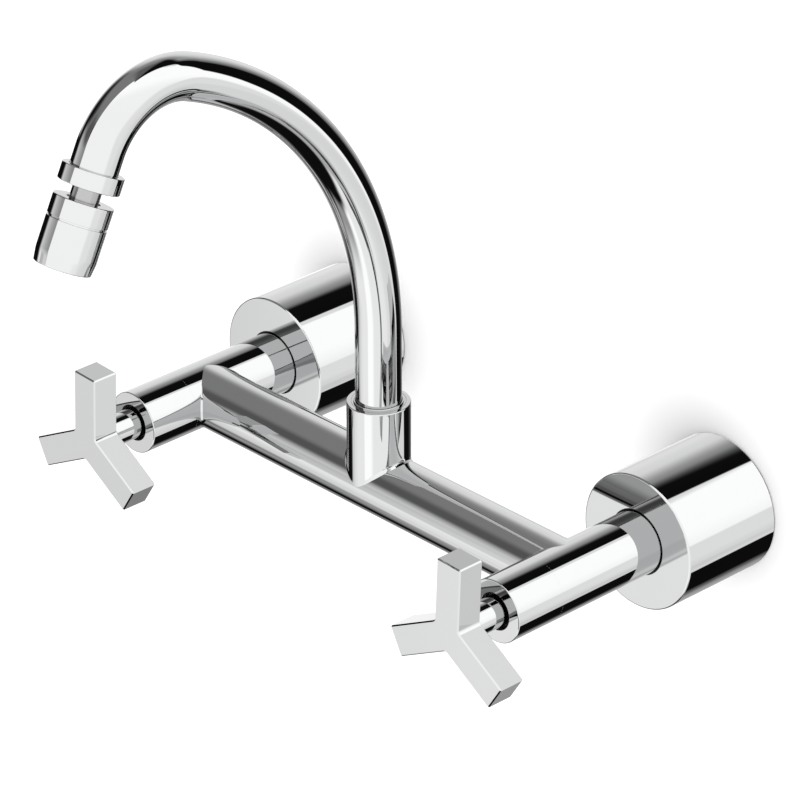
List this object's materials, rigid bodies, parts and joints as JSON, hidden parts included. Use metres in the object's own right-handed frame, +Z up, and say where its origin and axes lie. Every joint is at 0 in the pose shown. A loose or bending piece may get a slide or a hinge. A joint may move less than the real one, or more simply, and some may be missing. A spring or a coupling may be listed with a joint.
{
  "type": "wall-mounted bridge mixer tap",
  "caption": "Wall-mounted two-handle bridge tap with deep wall flanges, a swivelling gooseneck spout and a jointed aerator head.",
  "frame": {"origin": "on the wall's surface, midway between the two inlet axes", "axes": "+Y into the wall, -Y out towards the user, +Z up, +X to the user's right"},
  "size_m": [0.2567, 0.2554, 0.2324],
  "materials": {
    "chrome": "polished chrome plate on brass",
    "brass": "machined",
    "steel": "plain stainless steel",
    "ceramic": "lapped alumina",
    "fibre": "pressed fibre",
    "white_plastic": "moulded acetal",
    "rubber": "black nitrile rubber"
  },
  "bodies": {
    "mixer": {"left_valve_body": "chrome", "left_bonnet_sleeve": "chrome", "left_wall_flange": "chrome", "left_flange_seal": "rubber", "left_union_nut": "brass", "left_inlet_gasket": "fibre", "left_wall_nipple": "brass", "left_cartridge_body": "brass", "left_cartridge_oring": "rubber", "left_fixed_disc": "ceramic", "left_seat_seal": "rubber", "left_dust_seal": "rubber", "right_valve_body": "chrome", "right_bonnet_sleeve": "chrome", "right_wall_flange": "chrome", "right_flange_seal": "rubber", "right_union_nut": "brass", "right_inlet_gasket": "fibre", "right_wall_nipple": "brass", "right_cartridge_body": "brass", "right_cartridge_oring": "rubber", "right_fixed_disc": "ceramic", "right_seat_seal": "rubber", "right_dust_seal": "rubber", "bridge_tube": "chrome", "spout_socket": "chrome", "spout_bush": "chrome", "socket_screw": "steel"},
    "left_control": {"left_moving_disc": "ceramic", "left_spindle": "brass", "left_spindle_orings": "rubber", "left_handle_hub": "chrome", "left_hub_screw": "steel", "left_handle": "chrome"},
    "right_control": {"right_moving_disc": "ceramic", "right_spindle": "brass", "right_spindle_orings": "rubber", "right_handle_hub": "chrome", "right_hub_screw": "steel", "right_handle": "chrome"},
    "spout": {"spout_tube": "chrome", "spout_shank": "brass", "spout_orings": "rubber", "aerator_collar": "chrome", "collar_gasket": "rubber"},
    "swivel": {"swivel_stem": "chrome"},
    "head": {"aerator_cap": "chrome", "ball_seat": "white_plastic", "ball_oring": "rubber", "aerator_shell": "chrome", "aerator_gasket": "rubber", "aerator_screen": "steel", "aerator_insert": "white_plastic"}
  },
  "joints": [
    {"name": "left_handle_turn", "type": "hinge", "parent": "mixer", "child": "left_control", "pos_m": [-0.1, -0.1, 0], "axis": [0, -1, 0], "range_deg": [0, 90]},
    {"name": "right_handle_turn", "type": "hinge", "parent": "mixer", "child": "right_control", "pos_m": [0.1, -0.1, 0], "axis": [0, 1, 0], "range_deg": [0, 90]},
    {"name": "spout_swivel", "type": "hinge", "parent": "mixer", "child": "spout", "pos_m": [0, -0.0827, 0], "axis": [0, 0, 1], "range_deg": [-90, 90]},
    {"name": "aerator_spin", "type": "hinge", "parent": "spout", "child": "swivel", "pos_m": [0, -0.22282, 0.15918], "axis": [0, -0.4384, -0.8988], "continuous": true},
    {"name": "aerator_tilt", "type": "hinge", "parent": "swivel", "child": "head", "pos_m": [0, -0.22282, 0.15918], "axis": [1, 0, 0], "range_deg": [-10, 10]}
  ]
}
